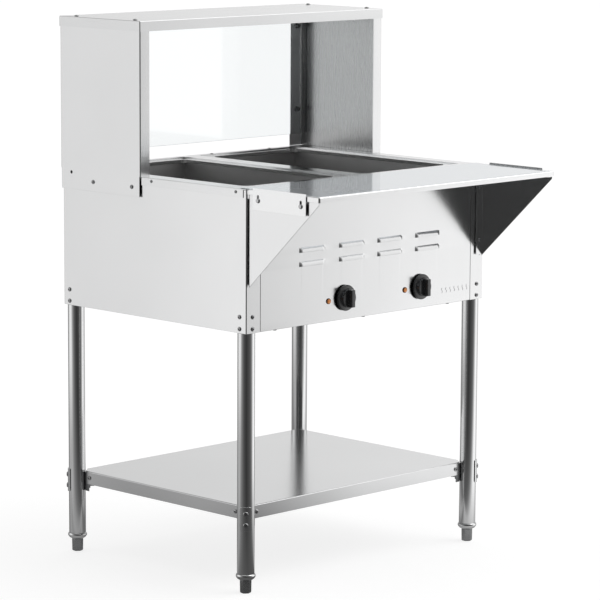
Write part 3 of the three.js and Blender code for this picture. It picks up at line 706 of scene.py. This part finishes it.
def foot_insert(corner):
    """The bulged collar under a leg, with its plug inside the tube."""
    node = f"foot_insert_{corner}"
    low, high = span(node)
    bulge = (high.x - low.x) / 2
    seat = span(f"leg_{corner}")[0].z - 0.3 * MM
    outline = rounded([
        (9 * MM, low.z), (16.5 * MM, low.z), (20.5 * MM, low.z + 3 * MM), (bulge, low.z + 7.5 * MM),
        (bulge - 0.3 * MM, low.z + 11 * MM), (21.5 * MM, seat), (18 * MM, seat),
    ], 1.6 * MM)
    form = bmesh.new()
    top = [(18 * MM, high.z), (9 * MM, high.z)]
    turn(form, outline + top, Matrix.Translation((*axis_of(node), 0.0)), 72, closed=True)
    piece(node + "_skin", form, TABLE, TUBE, (node,), smooth=50.0)


# How far the hexagonal shoes are turned, in degrees.
FOOT_TURN = 22.0


def foot(corner):
    """A hexagonal levelling foot with a rounded lower edge and its stem."""
    node = f"foot_{corner}"
    low, high = span(node)
    place = Matrix.Translation((*axis_of(node), 0.0))
    form = bmesh.new()
    shoe_top = span(f"foot_insert_{corner}")[0].z - 0.3 * MM
    radius = max(high.x - low.x, high.y - low.y) / 2
    shoe = [(0.0, low.z), (radius - 2.0 * MM, low.z), (radius - 0.5 * MM, low.z + 2.2 * MM),
            (radius, shoe_top - 1.5 * MM), (radius - 1.4 * MM, shoe_top), (0.0, shoe_top)]
    turn(form, shoe, place @ Matrix.Rotation(math.radians(FOOT_TURN), 4, "Z"), 6)
    prism(form, 32, 7.9 * MM, shoe_top - MM, high.z, place, 0.8 * MM)
    made = piece(node + "_skin", form, BODY_OF[node], FOOT, (node,))
    soften(made, 0.5 * MM, 35.0)


def saddle(corner, side, end, low):
    """The clamp's curved plate, narrower towards its upper and lower ends."""
    x, y = axis_of(f"leg_{corner}")
    middle = math.atan2(end, side)
    form = bmesh.new()
    rows = []
    for height, share in SADDLE_WIDTHS:
        z = low + height * MM
        angles = [middle + SADDLE_ANGLE * share * (k / SADDLE_STEPS - 1) for k in range(2 * SADDLE_STEPS + 1)]
        rows.append([
            form.verts.new((x + SADDLE_RADIUS * math.cos(a), y + SADDLE_RADIUS * math.sin(a), z))
            for a in angles])
    for lower, upper in zip(rows, rows[1:]):
        for k in range(2 * SADDLE_STEPS):
            form.faces.new((lower[k], lower[k + 1], upper[k + 1], upper[k]))
    return form


def clamp_bolts(corner, side, end, low):
    """Two bolts through the leg, with a round head outside and a nut inside."""
    axis = Vector((*axis_of(f"leg_{corner}"), 0))
    outward = Vector((side, end, 0)).normalized()
    form = bmesh.new()
    for bolt in CLAMP_BOLTS:
        middle = axis + Vector((0, 0, low + bolt * MM))
        screw(form, middle + outward * BOLT_HEAD, outward, 1.35)
        shank = facing(middle - outward * BOLT_END, outward)
        prism(form, 16, BOLT_RADIUS, 0.0, BOLT_LENGTH, shank, 0.4 * MM)
        hex_nut(form, middle - outward * BOLT_NUT, -outward)
    return form


def leg_clamp(corner, side, end):
    """A saddle plate outside the leg and the two bolts that hold it."""
    node = f"leg_clamp_{corner}"
    low = span(node)[0].z
    plate = piece(node + "_plate", saddle(corner, side, end, low), TABLE, STEEL, (node,))
    thicken(plate, 2 * MM)
    soften(plate, 0.4 * MM)
    piece(node + "_bolts", clamp_bolts(corner, side, end, low), TABLE, SCREW)


def undershelf_screws():
    """Screws through the undershelf's skirts into the corner brackets, two beside each leg."""
    form = bmesh.new()
    low, high = span("undershelf")
    height = high.z - 16 * MM
    reach = 40 * MM
    for _, side, end in CORNERS:
        leg_x = side * (CABINET_HALF - LEG_INSET)
        leg_y = (CABINET_FRONT if end < 0 else CABINET_BACK) - end * LEG_INSET
        face_y = low.y if end < 0 else high.y
        screw(form, (leg_x - side * reach, face_y, height), Vector((0, end, 0)))
        screw(form, (high.x * side, leg_y - end * reach, height), RIGHT * side)
    piece("undershelf_screws", form, TABLE, SCREW)


# Folded pans ------------------------------------------------------------------------------

def folded_pan(node, outline, folds, depth, bend, sheet=SHEET, material=STEEL_FLAT, skirt=None):
    """A flat outline, anticlockwise from above, with a skirt folded down along chosen edges.

    skirt is the skirt's own material, if it differs.
    """
    top = span(node)[1].z
    form = bmesh.new()
    upper = [form.verts.new((x, y, top)) for x, y in outline]
    form.faces.new(upper)
    lower = {}
    for i in folds:
        j = (i + 1) % len(outline)
        for k in (i, j):
            if k not in lower:
                lower[k] = form.verts.new((*outline[k], top - depth))
        folded = form.faces.new((lower[i], lower[j], upper[j], upper[i]))
        folded.material_index = 1 if skirt else 0
    made = piece(node + "_skin", form, TABLE, material, (node,), smooth=80.0)
    if skirt:
        made.data.materials.append(skirt)
    bevel = made.modifiers.new("bends", "BEVEL")
    bevel.width = bend
    bevel.segments = 5
    bevel.limit_method = "ANGLE"
    bevel.angle_limit = math.radians(30)
    thicken(made, sheet)
    level_normals(made)


def overshelf():
    low, high = span("overshelf")
    outline = [(low.x, low.y), (high.x, low.y), (high.x, high.y), (low.x, high.y)]
    folded_pan("overshelf", outline, range(4), high.z - low.z, 2.2 * MM, HEAVY)


# From the cabinet's faces to the ends of the undershelf's cut corners.
CORNER_CUT = 49.8 * MM


def undershelf():
    """The lower shelf, its corners cut off beside the legs."""
    low, high = span("undershelf")
    cut = CORNER_CUT - (low.y - CABINET_FRONT)
    outline = [
        (low.x + cut, low.y), (high.x - cut, low.y), (high.x, low.y + cut), (high.x, high.y - cut),
        (high.x - cut, high.y), (low.x + cut, high.y), (low.x, high.y - cut), (low.x, low.y + cut),
    ]
    # The undershelf takes the darker copy of the steel: painted shade.
    folded_pan("undershelf", outline, (0, 2, 4, 6), high.z - low.z, 2.4 * MM, material=STEEL_SHELF_SHADED)


def plate_shelf():
    """The front shelf: skirts at the front and sides, and a plain rear edge on the table's rim."""
    low, high = span("plate_shelf")
    rim = CABINET_FRONT - 3 * MM
    outline = [
        (low.x, low.y), (high.x, low.y), (high.x, rim), (high.x, high.y), (low.x, high.y), (low.x, rim),
    ]
    depth = high.z - low.z
    # The skirts take the lighter copy of the steel: painted light.
    folded_pan("plate_shelf", outline, (0, 1, 5), depth, 4.0 * MM, material=POLISHED, skirt=STEEL_PAINTED_LIGHTER)


def gusset(hand):
    """A gusset with dark heads on the two studs that stand out of it."""
    node = f"gusset_{hand}"
    head_face = max(abs(corner.x) for corner in span(node)) - STUD_HEAD
    refined(node, finish_of=lambda centre, _: DARK if abs(centre.x) > head_face else OWN)


def shelf_hanger(hand, side):
    """A hanger plate, outside in a lighter copy of the steel as painted light, inside in a darker copy as
    painted shade.
    """
    node = f"shelf_hanger_{hand}"
    refined(node, STEEL_PAINTED_LIGHTER, lambda _, normal: INNER_SHADE if normal.x * side < -0.5 else OWN)


def guard_side(hand, side):
    """A guard's side panel, its inner face in a darker copy of the steel as painted shade and its rear flange
    in a rougher, lighter copy as painted light.
    """
    low, high = span(f"guard_side_{hand}")
    web_face = max(abs(low.x), abs(high.x)) - 2 * HEAVY
    flange_face = high.y - 2 * HEAVY

    def finish_of(centre, normal):
        if normal.x * side < -0.5 and abs(centre.x) > web_face:
            return INNER_SHADE
        return DULL_LIT if normal.y < -0.5 and centre.y > flange_face else OWN

    refined(f"guard_side_{hand}", finish_of=finish_of)


# Studio -----------------------------------------------------------------------------------

CAMERA_PLACE = (-5.2470, -5.1890, 1.7532)
CAMERA_YAW = -45.18
CAMERA_PITCH = -8.65
CAMERA_ROLL = 0.30
CAMERA_LENS = 183.8
FLOOR_REACH = 70.0
FLOOR_GLOW = 0.80
WHITE = (1.0, 1.0, 1.0, 1.0)
OVERHEAD = (0.8, 0.8, 0.8, 1.0)
# Heights on the unit sphere where the low levels turn into the high ones, and those into the overhead one.
HIGH_FROM = (0.50, 0.62)
OVERHEAD_FROM = (0.84, 0.95)
CAMERA_SIDE = (-1.0, -1.0)
# How bright the studio is, by the angle round from the camera's side, positive to its right.
LOW_LEVELS = (
    (-180, 0.86), (-170, 0.66), (-150, 0.30), (-128, 0.28), (-115, 0.60), (-104, 1.02), (-96, 0.76),
    (-87, 1.06), (-74, 0.80), (-58, 0.34), (-42, 0.17), (-26, 0.08), (0, 0.04), (34, 0.08), (52, 0.12),
    (68, 0.24), (80, 0.55), (89, 0.86), (95, 1.12), (112, 1.16), (130, 0.75), (148, 0.30), (165, 0.85),
    (172, 1.00), (180, 0.86),
)
# The same higher up, where the strongest lamp stands to the right.
HIGH_LEVELS = (
    (-180, 0.50), (-100, 0.30), (-60, 0.20), (0, 0.15), (50, 0.50), (70, 2.40), (115, 2.40), (140, 0.60),
    (180, 0.50),
)
# The colour ramps hold the levels as shares of this.
BRIGHTEST = 2.5
# Where metal sees the table's shadow painted on the floor: centre, inner and outer radius, how much.
PAINTED_SHADOW_PATCHES = (((-1.2, 0.8, 0.0), 0.5, 2.0, 0.58), ((0.0, 0.1, 0.0), 0.5, 1.3, 0.6))
# The painted shadow's colour.
PAINTED_SHADOW = (0.12, 0.12, 0.12, 1.0)
# The point round which the mirrored floor's levels are laid out.
MIRRORED_CENTRE = (-0.16, -0.12, 0.0)


def camera():
    data = bpy.data.cameras.new("camera")
    data.lens = CAMERA_LENS
    data.sensor_width = 36.0
    data.clip_end = 300.0
    made = bpy.data.objects.new("camera", data)
    SCENE.collection.objects.link(made)
    aim = Matrix.Rotation(math.radians(CAMERA_YAW), 4, "Z")
    aim = aim @ Matrix.Rotation(math.radians(90 + CAMERA_PITCH), 4, "X")
    aim = aim @ Matrix.Rotation(math.radians(CAMERA_ROLL), 4, "Z")
    made.matrix_world = Matrix.Translation(CAMERA_PLACE) @ aim
    SCENE.camera = made


def ground(name, height):
    form = bmesh.new()
    bmesh.ops.create_grid(form, x_segments=2, y_segments=2, size=FLOOR_REACH)
    bmesh.ops.translate(form, vec=(0, 0, height), verts=form.verts)
    mesh = bpy.data.meshes.new(name)
    form.to_mesh(mesh)
    form.free()
    made = bpy.data.objects.new(name, mesh)
    SCENE.collection.objects.link(made)
    return made


def seen_floor():
    """The pale floor that the camera sees and that metal doesn't mirror."""
    seen = ground("floor", 0.0)
    seen.visible_glossy = False
    seen.data.materials.append(principled(
        "pale_floor", (0.35, 0.35, 0.35), 0.0, 0.9,
        Specular_IOR_Level=0.0, Emission_Color=WHITE, Emission_Strength=FLOOR_GLOW,
    ))


def mirrored_floor():
    """A dimmer floor just below, which only metal sees, with the table's shadow painted on it near the table.
    """
    mirrored = ground("mirrored_floor", -MM)
    mirrored.visible_camera = False
    mirrored.visible_diffuse = False
    mirrored.visible_transmission = False
    mirrored.visible_shadow = False
    material = principled(
        "mirrored_floor", (0.0, 0.0, 0.0), 0.0, 1.0, Specular_IOR_Level=0.0, Emission_Strength=1.0,
    )
    tree = material.node_tree
    place = tree.nodes.new("ShaderNodeTexCoord")
    from_centre = tree.nodes.new("ShaderNodeVectorMath")
    from_centre.operation = "SUBTRACT"
    from_centre.inputs[1].default_value = MIRRORED_CENTRE
    link(tree, place, "Object", from_centre, 0)
    level = levels_around(tree, from_centre.outputs["Vector"], LOW_LEVELS)
    for centre, inner, outer, most in PAINTED_SHADOW_PATCHES:
        distance = tree.nodes.new("ShaderNodeVectorMath")
        distance.operation = "DISTANCE"
        distance.inputs[1].default_value = centre
        link(tree, place, "Object", distance, 0)
        share = ranged(tree, distance.outputs["Value"], inner, outer, most, 0.0)
        level = mixed(tree, share, level, PAINTED_SHADOW)
    tree.links.new(level, tree.nodes["Principled BSDF"].inputs["Emission Color"])
    mirrored.data.materials.append(material)


def levels_around(tree, direction, levels):
    """Brightness in a direction, from its angle round the upright axis."""
    parts = tree.nodes.new("ShaderNodeSeparateXYZ")
    tree.links.new(direction, parts.inputs["Vector"])
    x, y = parts.outputs["X"], parts.outputs["Y"]
    ahead_x, ahead_y = Vector(CAMERA_SIDE).normalized()
    ahead = arithmetic(
        tree, "ADD", arithmetic(tree, "MULTIPLY", x, ahead_x), arithmetic(tree, "MULTIPLY", y, ahead_y))
    aside = arithmetic(
        tree, "SUBTRACT", arithmetic(tree, "MULTIPLY", y, ahead_x), arithmetic(tree, "MULTIPLY", x, ahead_y))
    share = ranged(tree, arithmetic(tree, "ARCTAN2", aside, ahead), -math.pi, math.pi, 0.0, 1.0)
    ramp = tree.nodes.new("ShaderNodeValToRGB")
    elements = ramp.color_ramp.elements
    for angle, _ in levels[1:-1]:
        elements.new(angle / 360.0 + 0.5)
    for element, (_, level) in zip(elements, levels):
        element.color = (*[level / BRIGHTEST] * 3, 1.0)
    tree.links.new(share, ramp.inputs["Fac"])
    scaled = tree.nodes.new("ShaderNodeVectorMath")
    scaled.operation = "SCALE"
    scaled.inputs["Scale"].default_value = BRIGHTEST
    link(tree, ramp, "Color", scaled, 0)
    return scaled.outputs["Vector"]


def studio():
    """Soft light from both sides and from above, dark only on the camera's side."""
    world = bpy.data.worlds.new("studio")
    SCENE.world = world
    world.use_nodes = True
    tree = world.node_tree
    place = tree.nodes.new("ShaderNodeTexCoord")
    direction = place.outputs["Generated"]
    parts = tree.nodes.new("ShaderNodeSeparateXYZ")
    tree.links.new(direction, parts.inputs["Vector"])
    height = parts.outputs["Z"]
    low = levels_around(tree, direction, LOW_LEVELS)
    high = levels_around(tree, direction, HIGH_LEVELS)
    sides = mixed(tree, ranged(tree, height, *HIGH_FROM, 0.0, 1.0), low, high)
    overhead = mixed(tree, ranged(tree, height, *OVERHEAD_FROM, 0.0, 1.0), sides, OVERHEAD)
    rays = tree.nodes.new("ShaderNodeLightPath")
    seen = mixed(tree, rays.outputs["Is Camera Ray"], overhead, WHITE)
    tree.links.new(seen, tree.nodes["Background"].inputs["Color"])


# Assembly ---------------------------------------------------------------------------------

SCENE.view_settings.view_transform = "Standard"
camera()
seen_floor()
mirrored_floor()
studio()

front_panel()
heat_mark()
overshelf()
undershelf()
plate_shelf()
for plain_node in ("back_panel", "bottom_panel", "cable_gland", "terminal_box", "glass_panel"):
    refined(plain_node)
refined("top_frame", STEEL_FLAT)
for hand, side in HANDS:
    for folded in ("side_panel", "well"):
        refined(f"{folded}_{hand}")
    gusset(hand)
    shelf_hanger(hand, side)
    guard_side(hand, side)
    for level in ("lower", "upper"):
        refined(f"glass_clip_{level}_{hand}", SCREW)
    for plain_node in ("heat_control", "control_shaft"):
        refined(f"{plain_node}_{hand}")
    heating_element(hand)
    knob(hand)
    lamp(hand)
for corner, side, end in CORNERS:
    leg(corner)
    foot_insert(corner)
    foot(corner)
    leg_clamp(corner, side, end)
    for plain_node in ("leg_socket", "corner_bracket"):
        refined(f"{plain_node}_{corner}")
cabinet_screws()
guard_screws()
gusset_screws()
undershelf_screws()
